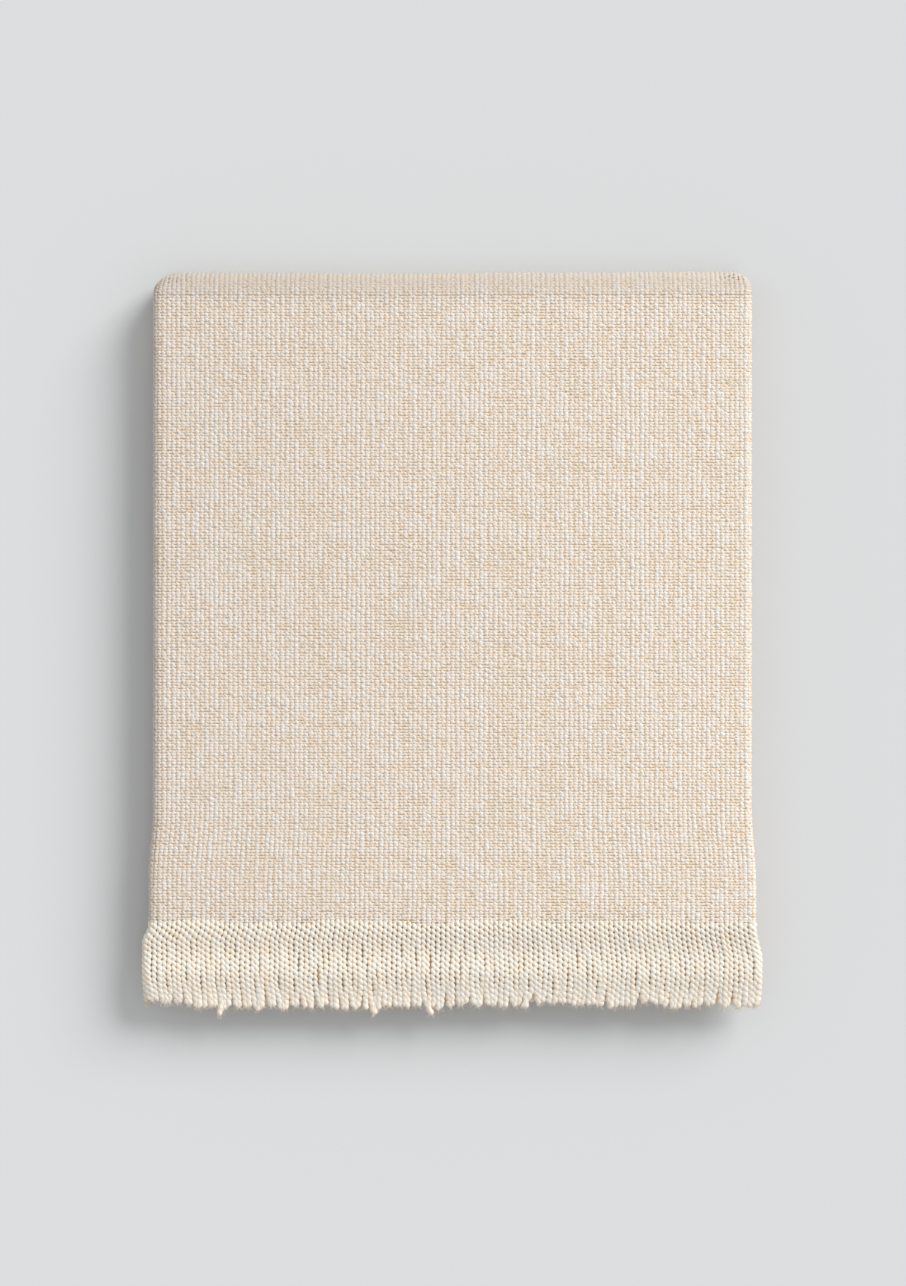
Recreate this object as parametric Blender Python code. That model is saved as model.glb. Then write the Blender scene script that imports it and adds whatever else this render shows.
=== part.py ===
"""A fringed plain-weave throw blanket, folded in three across its width and then in three along
its length. Metres, +Z up. The origin is on the floor under the middle of the folded throw. +Y is
the smooth folded edge at the back, and -Y is the front, where the top panel ends in its fringe.

The throw is made flat, in flat coordinates (u across the cloth, v along it from the front woven
end, n out of its face), and then every point is folded up by the function folded()."""

import math
import random
from collections import namedtuple

import bmesh
import bpy
from mathutils import Vector

MM = 0.001

# The throw as it was cut and woven, opened out flat
THROW_WIDTH = 1270 * MM
WOVEN_LENGTH = 1402 * MM
FRINGE = 58.5 * MM
CLOTH = 3.0 * MM

# How closely the layers lie. Three layers make a pack, and three packs make the stack
LAYER_GAP = 0.8 * MM
PIECE_GAP = 0.3 * MM
LAYER_PITCH = CLOTH + LAYER_GAP
PACK_HEIGHT = 3 * CLOTH + 2 * LAYER_GAP
PACK_PITCH = PACK_HEIGHT + LAYER_GAP
STACK_HEIGHT = 2 * PACK_PITCH + PACK_HEIGHT

# Where the free edges stop
TUCK = 2 * MM          # the side flaps' edges, short of the fold beside them
LEDGE = 42 * MM        # the lower front fold reaches this far past the top panel's woven end
INNER_STOP = 64 * MM   # the inner panel's woven end, short of the back fold that hides it

# The first fold: the side flaps turn in under the middle panel, the right one first
LEFT_RADIUS = LAYER_PITCH
RIGHT_RADIUS = LAYER_PITCH / 2
MIDDLE_PANEL = (THROW_WIDTH + 2 * TUCK - math.pi * (LEFT_RADIUS + RIGHT_RADIUS)) / 3
FLAP = MIDDLE_PANEL - TUCK
FOLDED_WIDTH = MIDDLE_PANEL + LEFT_RADIUS + RIGHT_RADIUS + CLOTH

# The second fold: the top panel turns down at the back, the bottom one turns up at the front
BACK_RADIUS = PACK_PITCH
FRONT_RADIUS = PACK_PITCH / 2
BACK_REACH = BACK_RADIUS + PACK_HEIGHT / 2
FRONT_REACH = FRONT_RADIUS + PACK_HEIGHT / 2
LEDGE_PANEL = LEDGE - FRONT_REACH
TURNS_LENGTH = math.pi * (BACK_RADIUS + FRONT_RADIUS)
TOP_PANEL = (WOVEN_LENGTH - TURNS_LENGTH - 2 * LEDGE_PANEL + INNER_STOP) / 3
BOTTOM_PANEL = TOP_PANEL + LEDGE_PANEL
INNER_PANEL = BOTTOM_PANEL - INNER_STOP

# Places on the floor plan
BACK_Y = (TOP_PANEL + BACK_REACH + FRINGE) / 2
BACK_TURN_Y = BACK_Y - BACK_REACH
WOVEN_END_Y = BACK_TURN_Y - TOP_PANEL
LEDGE_Y = WOVEN_END_Y - LEDGE
RIGHT_TURN_X = FOLDED_WIDTH / 2 - RIGHT_RADIUS - CLOTH / 2

# A row for each panel, with the half turn to the right that follows it
Fold = namedtuple("Fold", "panel panel_cells radius turn_cells")
WIDTH_FOLDS = (
    Fold(FLAP, 3, LEFT_RADIUS, 6),
    Fold(MIDDLE_PANEL, 8, RIGHT_RADIUS, 5),
    Fold(FLAP, 3, 0, 0),
)
LENGTH_FOLDS = (
    Fold(TOP_PANEL, 10, BACK_RADIUS, 8),
    Fold(BOTTOM_PANEL, 6, FRONT_RADIUS, 6),
    Fold(INNER_PANEL, 5, 0, 0),
)
Start = namedtuple("Start", "along up heading")
WIDTH_START = Start(RIGHT_TURN_X - TUCK, -LAYER_PITCH, -1)
LENGTH_START = Start(WOVEN_END_Y, STACK_HEIGHT - PACK_HEIGHT / 2, 1)

# Unevenness of the laid stack
CORNER_RADIUS = 13 * MM
FLARE = 3.2 * MM         # each side widens by this towards the woven end
FLARE_FROM = 85 * MM     # measured back from the woven end
FLARE_TO = 30 * MM
SETTLE = 0.7 * MM        # rise and fall of the top face
SETTLE_RUN = 90 * MM     # it fades out over this length before the woven end
Wave = namedtuple("Wave", "across along phase share")
WAVES = (
    Wave(410 * MM, 560 * MM, 0.6, 0.5),
    Wave(-260 * MM, 330 * MM, 2.1, 0.3),
    Wave(240 * MM, -210 * MM, 4.0, 0.2),
)

# How the front fringe lies
STRIP = 3 * MM            # depth of the strip that the strands grow from
LIE_RUN = 22 * MM         # the strands sink onto each other over this length
LIE_SHARE = 0.66          # and then fill this share of the pack's height
FREE_FROM = LEDGE_PANEL   # past this the strands have nothing under them
DROOP = 6 * MM
SPREAD = 4.3 * MM         # the fringe spreads by this at each side
SPREAD_RUN = 18 * MM
DRAW_IN = 1.8 * MM        # and its tips draw in again
DRAW_FROM = 35 * MM
TIP_SHARE = 0.84          # thickness of a strand's tip, as a share of its root
PAIR_LEAN = 0.35 * MM     # neighbours lean towards each other in pairs
STRAY_LEAN = 0.25 * MM
SHORTEST_TIP = -2.6 * MM
LONGEST_TIP = 1.6 * MM
SEED = 11

RIM_ANGLE = math.radians(50)   # the cloth shades smooth up to this angle, so its rims stay crisp

# A row for each stretch of a fringe. A stretch without strands is a plain strip of some cells
Row = namedtuple("Row", "length strands width steps cells")
FRONT_ROWS = (
    Row(FLAP, 60, 3.6 * MM, 3, 0),
    Row(MIDDLE_PANEL + math.pi * (LEFT_RADIUS + RIGHT_RADIUS), 130, 1.9 * MM, 4, 0),
    Row(FLAP, 60, 3.6 * MM, 3, 0),
)
INNER_ROWS = (
    Row(FLAP, 15, 12 * MM, 1, 0),
    Row(math.pi * LEFT_RADIUS, 0, 0, 0, 6),
    Row(MIDDLE_PANEL, 15, 12 * MM, 1, 0),
    Row(math.pi * RIGHT_RADIUS, 0, 0, 0, 5),
    Row(FLAP, 15, 12 * MM, 1, 0),
)


def clear_scene():
    for thing in list(bpy.data.objects):
        bpy.data.objects.remove(thing)


def smooth(share):
    """A soft step from 0 to 1."""
    share = min(max(share, 0.0), 1.0)
    return share * share * (3 - 2 * share)


def walk(folds, start, distance, side):
    """Follows a folded line, and gives the point that lies a side step to the left of it.
    Each panel but the last ends in a half turn to the right."""
    along, up, heading = start
    for fold in folds[:-1]:
        if distance <= fold.panel:
            break
        distance -= fold.panel
        along += heading * fold.panel
        angle = distance / fold.radius
        if angle < math.pi:
            reach = heading * (fold.radius + side)
            centre = up - heading * fold.radius
            return along + reach * math.sin(angle), centre + reach * math.cos(angle)
        distance -= math.pi * fold.radius
        up -= 2 * heading * fold.radius
        heading = -heading
    return along + heading * distance, up + heading * side


def stations(folds):
    """The distances along a folded line at which the cloth has its points."""
    found = [0.0]
    for fold in folds:
        for length, cells in ((fold.panel, fold.panel_cells), (math.pi * fold.radius, fold.turn_cells)):
            start = found[-1]
            found += [start + length * (i + 1) / cells for i in range(cells)]
    return found


def rounded(x, y):
    """Rounds the four corners of the stack in plan."""
    middle = (BACK_Y + LEDGE_Y) / 2
    half = (BACK_Y - LEDGE_Y) / 2
    a = (abs(x) - FOLDED_WIDTH / 2 + CORNER_RADIUS) / CORNER_RADIUS
    b = (abs(y - middle) - half + CORNER_RADIUS) / CORNER_RADIUS
    if a <= 0 or b <= 0:
        return x, y
    inward_x = CORNER_RADIUS * (a - a * math.sqrt(1 - b * b / 2))
    inward_y = CORNER_RADIUS * (b - b * math.sqrt(1 - a * a / 2))
    return x - math.copysign(inward_x, x), y - math.copysign(inward_y, y - middle)


def widened(x, y):
    """Spreads the sides a little towards the woven end."""
    before_end = y - WOVEN_END_Y
    flare = FLARE * smooth((FLARE_FROM - before_end) / (FLARE_FROM - FLARE_TO))
    return x * (1 + 2 * flare / FOLDED_WIDTH)


def settled(x, y, z):
    """Lets the stack rise and fall softly, more at the top, and not at all in the lowest layer."""
    height = max(0.0, z - CLOTH) / (STACK_HEIGHT - CLOTH)
    fade = smooth((y - WOVEN_END_Y) / SETTLE_RUN)
    wave = sum(
        w.share * math.sin(math.tau * (x / w.across + y / w.along) + w.phase) for w in WAVES
    )
    return z + SETTLE * wave * height * fade


def lying(h, past):
    """The height in the pack of a front strand, this far past the woven end."""
    bottom = -PACK_HEIGHT / 2
    share = 1 - (1 - LIE_SHARE) * smooth(past / LIE_RUN)
    over = max(0.0, past - FREE_FROM) / (FRINGE - FREE_FROM)
    return bottom + (h - bottom) * share - DROOP * over * over


def spread(x, past):
    """The place across of a front strand, this far past the woven end."""
    more = SPREAD * smooth(past / SPREAD_RUN)
    less = DRAW_IN * smooth((past - DRAW_FROM) / (FRINGE - DRAW_FROM))
    return x * (1 + 2 * (more - less) / FOLDED_WIDTH)


def folded(u, v, n):
    """Takes a point of the flat throw to its place in the folded one."""
    x, h = walk(WIDTH_FOLDS, WIDTH_START, u, n)
    if v < 0:
        y, z = walk(LENGTH_FOLDS, LENGTH_START, v, lying(h, -v))
        return Vector((widened(spread(x, -v), y), y, z))
    y, z = walk(LENGTH_FOLDS, LENGTH_START, v, h)
    x, y = rounded(x, y)
    return Vector((widened(x, y), y, settled(x, y, z)))


def fold_up(bm):
    """Folds a mesh that lies in flat coordinates."""
    for vert in bm.verts:
        vert.co = folded(*vert.co)


def placed_grid(bm, across, along, place):
    """A grid whose points go to the places that place() gives for their column and row."""
    bmesh.ops.create_grid(bm, x_segments=len(across) - 1, y_segments=len(along) - 1, size=0.5)
    for vert in bm.verts:
        column = round((vert.co.x + 0.5) * (len(across) - 1))
        row = round((vert.co.y + 0.5) * (len(along) - 1))
        vert.co = place(across[column], along[row])


def material(name, colour, roughness):
    made = bpy.data.materials.new(name)
    made.use_nodes = True
    shader = made.node_tree.nodes["Principled BSDF"]
    shader.inputs["Base Color"].default_value = (*colour, 1)
    shader.inputs["Roughness"].default_value = roughness
    shader.inputs["Metallic"].default_value = 0
    made.diffuse_color = (*colour, 1)
    return made


def new_object(name, bm, finish, collection):
    bmesh.ops.recalc_face_normals(bm, faces=bm.faces)
    mesh = bpy.data.meshes.new(name)
    bm.to_mesh(mesh)
    bm.free()
    mesh.materials.append(finish)
    made = bpy.data.objects.new(name, mesh)
    collection.objects.link(made)
    return made


def thicken(bm, step):
    """Gives an open sheet of faces its thickness, and returns the faces of its far side."""
    made = bmesh.ops.extrude_face_region(bm, geom=list(bm.faces))["geom"]
    faces = [item for item in made if isinstance(item, bmesh.types.BMFace)]
    bmesh.ops.translate(bm, verts=list({vert for face in faces for vert in face.verts}), vec=step)
    return faces


def cloth(collection, finish):
    """The woven throw, one sheet folded both ways."""
    bm = bmesh.new()
    under = -CLOTH / 2
    placed_grid(bm, stations(WIDTH_FOLDS), stations(LENGTH_FOLDS), lambda u, v: Vector((u, v, under)))
    thicken(bm, (0, 0, CLOTH))
    fold_up(bm)
    made = new_object("throw_cloth", bm, finish, collection)
    made.data.shade_smooth()
    made.data.set_sharp_from_angle(angle=RIM_ANGLE)


def columns(rows):
    """The cuts across a fringe's strip, and for each column between them its row or None."""
    cuts = [0.0]
    owners = []
    for row in rows:
        start = cuts[-1]
        if row.strands == 0:
            cuts += [start + row.length * (i + 1) / row.cells for i in range(row.cells)]
            owners += [None] * row.cells
            continue
        pitch = row.length / row.strands
        for i in range(row.strands):
            middle = start + pitch * (i + 0.5)
            cuts += [middle - row.width / 2, middle + row.width / 2]
            owners += [None, row]
        cuts.append(start + row.length)
        owners.append(None)
    return cuts, owners


def grow_strand(bm, face, row, outward, length, lean):
    """Draws one strand out of the strip's face, tapering and leaning to its tip."""
    root = face.calc_center_median()
    section = [vert.co - root for vert in face.verts]
    for step in range(1, row.steps + 1):
        share = step / row.steps
        face = bmesh.ops.extrude_discrete_faces(bm, faces=[face])["faces"][0]
        thickness = 1 - (1 - TIP_SHARE) * share
        centre = root + Vector((lean * smooth(share), outward * length * share, 0))
        for vert, corner in zip(face.verts, section):
            vert.co = centre + corner * thickness


def fringe(name, rows, edge, outward, collection, finish):
    """A fringe at one woven end: a narrow strip across the cloth and the strands grown from it."""
    cuts, owners = columns(rows)
    bm = bmesh.new()
    near = edge + outward * PIECE_GAP
    placed_grid(bm, cuts, (-CLOTH / 2, CLOTH / 2), lambda u, n: Vector((u, near, n)))
    faces = thicken(bm, (0, outward * STRIP, 0))
    faces.sort(key=lambda face: face.calc_center_median().x)
    draw = random.Random(SEED)
    strand_length = FRINGE - PIECE_GAP - STRIP
    grown = 0
    for face, row in zip(faces, owners):
        if row is None:
            continue
        lean = PAIR_LEAN * (1 if grown % 2 == 0 else -1) + draw.uniform(-STRAY_LEAN, STRAY_LEAN)
        length = strand_length + draw.uniform(SHORTEST_TIP, LONGEST_TIP)
        grow_strand(bm, face, row, outward, length, lean)
        grown += 1
    fold_up(bm)
    return new_object(name, bm, finish, collection)


def main():
    clear_scene()
    throw = bpy.data.collections.new("Throw blanket")
    bpy.context.scene.collection.children.link(throw)
    woven = material("Cream and beige plain weave", (0.74, 0.65, 0.53), 0.92)
    yarn = material("Cream fringe yarn", (0.79, 0.72, 0.61), 0.9)
    hidden_yarn = material("Cream inner fringe yarn", (0.79, 0.72, 0.61), 0.9)
    cloth(throw, woven)
    fringe("front_fringe", FRONT_ROWS, 0.0, -1, throw, yarn)
    fringe("inner_fringe", INNER_ROWS, WOVEN_LENGTH, 1, throw, hidden_yarn)


main()
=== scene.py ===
"""The looks of a fringed plain-weave throw blanket, folded in three across its width and then in
three along its length. Metres, +Z up, +Y towards the smooth fold at the back.

Every piece is made flat, in flat coordinates (u across the cloth, v along it from the front woven
end, n out of its face), and folded() then takes its points to their places in the folded throw."""

import math
from collections import namedtuple

import bpy
import numpy as np
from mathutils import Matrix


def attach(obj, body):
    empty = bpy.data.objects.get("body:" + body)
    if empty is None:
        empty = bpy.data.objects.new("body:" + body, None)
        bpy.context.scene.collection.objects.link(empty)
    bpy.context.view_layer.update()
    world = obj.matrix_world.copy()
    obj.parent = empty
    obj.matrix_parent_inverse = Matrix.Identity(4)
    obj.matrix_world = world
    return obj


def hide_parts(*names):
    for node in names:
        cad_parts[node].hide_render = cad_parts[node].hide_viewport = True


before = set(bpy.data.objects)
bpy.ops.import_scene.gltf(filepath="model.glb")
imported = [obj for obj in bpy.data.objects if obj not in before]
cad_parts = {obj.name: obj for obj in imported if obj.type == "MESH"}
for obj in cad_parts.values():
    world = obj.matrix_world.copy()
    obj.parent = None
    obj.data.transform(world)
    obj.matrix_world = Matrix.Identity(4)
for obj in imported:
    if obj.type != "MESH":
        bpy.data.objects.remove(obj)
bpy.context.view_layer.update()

MM = 0.001

# The throw opened out flat
THROW_WIDTH = 1270 * MM
WOVEN_LENGTH = 1402 * MM
FRINGE = 58.5 * MM        # how deep the front fringe is, seen from above
CLOTH = 3.0 * MM          # how thick the cloth is with its yarns

# How closely the layers lie. Three layers make a pack, and three packs make the stack
LAYER_PITCH = CLOTH + 0.8 * MM
PACK_HEIGHT = 3 * CLOTH + 1.6 * MM
PACK_PITCH = PACK_HEIGHT + 0.8 * MM
STACK_HEIGHT = 2 * PACK_PITCH + PACK_HEIGHT

# Where the free edges stop
TUCK = 2 * MM
LEDGE = 42 * MM
INNER_STOP = 64 * MM

# The first fold: the side flaps turn in under the middle panel
LEFT_RADIUS = LAYER_PITCH
RIGHT_RADIUS = LAYER_PITCH / 2
MIDDLE_PANEL = (THROW_WIDTH + 2 * TUCK - math.pi * (LEFT_RADIUS + RIGHT_RADIUS)) / 3
FLAP = MIDDLE_PANEL - TUCK
FOLDED_WIDTH = MIDDLE_PANEL + LEFT_RADIUS + RIGHT_RADIUS + CLOTH

# The second fold: the top panel turns down at the back, the bottom one turns up at the front
BACK_RADIUS = PACK_PITCH
FRONT_RADIUS = PACK_PITCH / 2
BACK_REACH = BACK_RADIUS + PACK_HEIGHT / 2
FRONT_REACH = FRONT_RADIUS + PACK_HEIGHT / 2
LEDGE_PANEL = LEDGE - FRONT_REACH
TURNS_LENGTH = math.pi * (BACK_RADIUS + FRONT_RADIUS)
TOP_PANEL = (WOVEN_LENGTH - TURNS_LENGTH - 2 * LEDGE_PANEL + INNER_STOP) / 3
BOTTOM_PANEL = TOP_PANEL + LEDGE_PANEL
INNER_PANEL = BOTTOM_PANEL - INNER_STOP

# Places on the floor plan
BACK_Y = (TOP_PANEL + BACK_REACH + FRINGE) / 2
BACK_TURN_Y = BACK_Y - BACK_REACH
WOVEN_END_Y = BACK_TURN_Y - TOP_PANEL
LEDGE_Y = WOVEN_END_Y - LEDGE
RIGHT_TURN_X = FOLDED_WIDTH / 2 - RIGHT_RADIUS - CLOTH / 2

# A row for each panel, with the half turn to the right that follows it
Fold = namedtuple("Fold", "panel radius")
WIDTH_FOLDS = (Fold(FLAP, LEFT_RADIUS), Fold(MIDDLE_PANEL, RIGHT_RADIUS), Fold(FLAP, 0))
LENGTH_FOLDS = (Fold(TOP_PANEL, BACK_RADIUS), Fold(BOTTOM_PANEL, FRONT_RADIUS), Fold(INNER_PANEL, 0))
Start = namedtuple("Start", "along up heading")
WIDTH_START = Start(RIGHT_TURN_X - TUCK, -LAYER_PITCH, -1)
LENGTH_START = Start(WOVEN_END_Y, STACK_HEIGHT - PACK_HEIGHT / 2, 1)

# The middle panel with its two folds, and where the front fold comes along the cloth
SHOWN_FROM = FLAP
PANEL_FROM = SHOWN_FROM + math.pi * LEFT_RADIUS
PANEL_TO = PANEL_FROM + MIDDLE_PANEL
SHOWN_TO = PANEL_TO + math.pi * RIGHT_RADIUS
BACK_TURN_TO = TOP_PANEL + math.pi * BACK_RADIUS
FRONT_TURN_FROM = BACK_TURN_TO + BOTTOM_PANEL
LEDGE_TO = FRONT_TURN_FROM + math.pi * FRONT_RADIUS + LEDGE_PANEL

# Unevenness of the laid stack
CORNER_RADIUS = 13 * MM
LEFT_CORNER_RADIUS = 18 * MM
# Ripples along an edge. Each length is that of one radian
Ripple = namedtuple("Ripple", "share length phase")
BACK_WAVE = 0.5 * MM
BACK_RIPPLES = (Ripple(1.0, 61 * MM, -0.7), Ripple(0.5, 23 * MM, 0.0))
BACK_WAVE_RUN = 40 * MM
FLARE = 3.2 * MM          # how far each side widens towards the woven end
FLARE_FROM = 85 * MM
FLARE_TO = 30 * MM
SETTLE = 0.7 * MM         # how far its top rises and falls
SETTLE_RUN = 90 * MM
Wave = namedtuple("Wave", "across along phase share")
WAVES = (
    Wave(410 * MM, 560 * MM, 0.6, 0.5),
    Wave(-260 * MM, 330 * MM, 2.1, 0.3),
    Wave(240 * MM, -210 * MM, 4.0, 0.2),
)

# How the front fringe lies
LIE_RUN = 22 * MM
LIE_SHARE = 0.66          # how much of the pack's height it fills once it lies loose
DROOP = 6 * MM            # how far down its tips hang, past the ledge
SPREAD = 4.3 * MM         # how far it spreads at each side
LEFT_SPREAD_RUN = 12 * MM
RIGHT_SPREAD_RUN = 28 * MM
DRAW_IN = 1.8 * MM        # and how far its tips draw in again
DRAW_FROM = 35 * MM

# The woven sheet: half its thickness, and the face's half of it where yarns lie on it
SHEET_HALF = 1.2 * MM
FACE_HALF = 0.70 * MM
YARNS_PAST = 3 * MM       # how far past the front fold and its ledge the yarns go on
ACROSS_STEP = 25 * MM
ALONG_STEP = 15 * MM
TURN_STEP = 2.6 * MM

# The weave: the yarns' pitches, and where a yarn passes over the other its shape in the flat cloth
WARP_PITCH = 3.37 * MM
WEFT_PITCH = 2.09 * MM
# foot, side and crown are the heights of its two ends, its long sides and its ridge. The ridge and
# the shoulder, where a float is still at its full width, are shares of its half length. The last two
# are painted shade: how much browner its ends and its long sides are painted than its ridge, for the
# shade that falls between the floats
Float = namedtuple(
    "Float", "half_length half_width foot side crown ridge shoulder slant end_brown side_brown"
)
WARP_FLOAT = Float(
    1.93 * MM, 1.15 * MM, 0.54 * MM, 0.60 * MM, 1.50 * MM, 0.42, 0.54, math.radians(-34), 0.90, 0.22
)
WEFT_FLOAT = Float(
    2.24 * MM, 1.09 * MM, 0.54 * MM, 0.60 * MM, 1.44 * MM, 0.48, 0.62, math.radians(3), 0.70, 0.18
)

# How uneven the floats are. All odds here are standard deviations
COLUMN_WANDER = 0.26 * MM
FLOAT_JITTER = 0.16 * MM
SLUB_SHARE = 0.15         # how much wider a float is in a slub
SLUB_LIFT = 0.18          # how much higher
SLUB_TONE = 0.07          # and how much lighter
CLOUD_SHARE = 0.05        # how much wider it is in a light patch
CLOUD_TONE = 0.025        # and how much lighter
FLOAT_TONE = 0.84
YARN_ODDS = 0.5           # how unlike its neighbours a whole yarn is, against its own slubs
FLOAT_WIDTH_ODDS = 0.05
FLOAT_LENGTH_ODDS = 0.08
FLOAT_LIFT_ODDS = 0.08
FLOAT_SLANT_ODDS = math.radians(10)
FLOAT_TONE_ODDS = 0.10

# The shortest and the longest waves of an unevenness, along a yarn or over the whole cloth
WANDER_WAVES = (60 * MM, 190 * MM)
WARP_SLUBS = (14 * MM, 70 * MM)
WEFT_SLUBS = (18 * MM, 90 * MM)
SMALL_PATCHES = (10 * MM, 26 * MM)
LARGE_PATCHES = (26 * MM, 80 * MM)
SMALL_PATCH_SHARE = 0.7
LARGE_PATCH_SHARE = 0.6

# Painted shade: how grey the cloth is painted, as a share. It is darker on the left, where less light
# falls, and darker still where the cloth turns away from the light
SIDE_PAINTED_SHADE = 0.20          # the whole cloth is duller on the left than on the right
LEFT_FOLD_PAINTED_SHADE = 0.14          # and more so round the left fold and the back fold
BACK_FOLD_PAINTED_SHADE = 0.50
SHEET_PAINTED_SHADE = 1.2          # how much duller the sheet is there than the yarns on it
PAINTED_SHADE_BEFORE = 6 * MM      # how far before a fold that starts
LEFT_PAINTED_SHADE_RUN = 9 * MM
BACK_PAINTED_SHADE_RUN = 14 * MM
# The colour of the painted shade
PAINTED_SHADE_COLOUR = (0.37, 0.32, 0.265)

# The selvedges, where each weft yarn turns back round the last warp yarn
SELVEDGE = 1.45 * MM      # radius of the beads
SELVEDGE_NECK = 0.70      # how thin the edge is between two beads, as a share
BEAD_RINGS = 4
BEAD_WAVES = (12 * MM, 60 * MM)

# How far into the cloth the last weft rows have slipped, at most
SLIPPED = 3.1 * MM
SLIP_RIPPLES = (Ripple(0.5, 17 * MM, 0.0), Ripple(0.3, 7.3 * MM, 1.0), Ripple(0.2, 3.1 * MM, 2.0))

# The yarns of the fringe
YARN = 1.63 * MM          # radius
YARN_WIDTH_ODDS = 0.05
FRINGE_TONE = 0.72
FRINGE_TONE_ODDS = 0.05
# Painted shade: a yarn is painted browner down its flanks, and most along its underside, away from
# its lit top
FLANK_PAINTED_SHADE = 0.30         # a yarn is browner down its flanks
SWELL = 0.05              # how much it swells and thins along its length
SWELL_TONE = 0.06
SWELL_WAVES = (10 * MM, 34 * MM)
UNDER_SHORTER = 3.6 * MM  # how much sooner the two rows under the front one end

# The yarns of the fringe that lies inside the back fold
INNER_YARN = 1.35 * MM    # radius
INNER_ROOT = 0.9 * MM     # how far inside the cloth they start
INNER_ODDS = (-3 * MM, 1 * MM)
INNER_DRIFT = 0.5 * MM
INNER_DRIFT_WAVES = (20 * MM, 50 * MM)

# The crimp that the weave has left in the front yarns, aside and up. Some are out of step with it
CRIMP = 0.62 * MM
RISE = 0.30 * MM
CRIMP_PERIOD = 2 * WEFT_PITCH
CRIMP_ROOT_RUN = 2.4 * MM
CRIMP_LOST = 0.55         # how much of it is lost at the tips
CRIMP_LOST_FROM = 47 * MM
CRIMP_LOST_RUN = 10 * MM
PERIOD_ODDS = 0.012
PHASE_ODDS = 0.27
OUT_OF_STEP = 1.3         # radians
OUT_OF_STEP_YARNS = 0.08  # the share of the yarns that are

# Their roots, which start inside the cloth, and their tips, which are blunt and fluffy
ROOT = 1.7 * MM           # how far inside the last weft row a yarn starts
ROOT_SHARE = 0.86         # how thin it is there, as a share
ROOT_RUN = 1.6 * MM
FLUFF = 0.38              # how much thicker it gets towards its tip
FLUFF_FROM = 38 * MM
FLUFF_RUN = 17 * MM
BLUNT_RUN = 1.9 * MM
BLUNT_SHARE = 0.06        # the square of how thin it is at its very end

# How they stray from straight, and how their tips lean
DRIFT = 0.42 * MM
DRIFT_WAVES = (22 * MM, 60 * MM)
LIFT = 0.25 * MM
LIFT_WAVES = (25 * MM, 60 * MM)
DRIFT_RUN = 20 * MM
LEAN_FROM = 0.72          # where along the yarn it starts to lean, as a share
LEAN_ODDS = 0.35 * MM
FAR_LEAN_ODDS = 2.2 * MM
FAR_LEAN_YARNS = 0.05     # the share of the yarns that lean far
TIP_ODDS = 0.4 * MM       # how uneven the yarns' own lengths are
LOCK_ODDS = 0.75 * MM     # how unlike its neighbours a whole clump's length is
LOCK_TAPER = 1.0 * MM     # how much shorter each next yarn is towards the edge of its clump

# Neighbours draw together into ropes, and further out into clumps: how many yarns may join and how
# often, how far they are pulled, as a share of the pitch of the warp, and from where to where
Gather = namedtuple("Gather", "yarns odds pull start run")
ROPES = Gather((1, 2, 3), (0.35, 0.50, 0.15), 0.12, 32 * MM, 14 * MM)
LOCKS = Gather((1, 2, 3), (0.10, 0.55, 0.35), 0.34, 42 * MM, 16 * MM)

# How far the tips of the fringe reach, by the place across. Both in millimetres
Reach = namedtuple("Reach", "across past")
TIPS = (
    Reach(-221, 54.0), Reach(-196, 56.5), Reach(-168, 60.0), Reach(-110, 60.5), Reach(-88, 58.5),
    Reach(-62, 61.0), Reach(-34, 58.5), Reach(-14, 60.5), Reach(12, 58.0), Reach(40, 59.0),
    Reach(74, 57.0), Reach(100, 57.5), Reach(114, 60.5), Reach(139, 55.5), Reach(152, 60.0),
    Reach(178, 58.0), Reach(205, 60.0), Reach(221, 54.5),
)

# The loose fibres at the tips
FIBRES_PER_YARN = 18
FIBRE_RINGS = 5
FIBRE = 0.21 * MM         # radius at the root
FIBRE_TAPER = 0.75
FIBRE_LENGTHS = (1.8 * MM, 4.4 * MM)
FIBRE_ZONE = 9 * MM       # how far up from the tip they start
FIBRE_DEPTH = 0.6         # how far out in its yarn a fibre starts, as a share of the radius
FIBRE_SIDE = (0.25, 0.75)
FIBRE_BEND = 0.35
FIBRE_TONE = 0.62
FIBRE_TONE_ODDS = 0.12

# Three ends hang out further than the rest and lean to one side
Stray = namedtuple("Stray", "across more lean")
STRAYS = (
    Stray(-162.6 * MM, 4.5 * MM, -1.6 * MM),
    Stray(-56.0 * MM, 3.6 * MM, 2.2 * MM),
    Stray(-18.5 * MM, 4.5 * MM, 5.0 * MM),
)


def smooth(share):
    """A soft step from 0 to 1."""
    share = np.clip(share, 0.0, 1.0)
    return share * share * (3 - 2 * share)


def rippled(x, ripples):
    """How far an edge is out of line at a place along it."""
    return sum(ripple.share * np.sin(x / ripple.length + ripple.phase) for ripple in ripples)


def walk(folds, start, distance, side):
    """Follows a folded line, and gives the points that lie a side step to the left of it.
    Each panel but the last ends in a half turn to the right."""
    along, up, heading = start
    x = along + heading * distance
    z = up + heading * side + 0 * distance
    begin = 0.0
    for fold in folds[:-1]:
        begin += fold.panel
        along += heading * fold.panel
        past = distance - begin
        angle = past / fold.radius
        reach = heading * (fold.radius + side)
        x = np.where(past > 0, along + reach * np.sin(angle), x)
        z = np.where(past > 0, up - heading * fold.radius + reach * np.cos(angle), z)
        begin += math.pi * fold.radius
        up -= 2 * heading * fold.radius
        heading = -heading
        past = distance - begin
        x = np.where(past > 0, along + heading * past, x)
        z = np.where(past > 0, up + heading * side, z)
    return x, z


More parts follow.
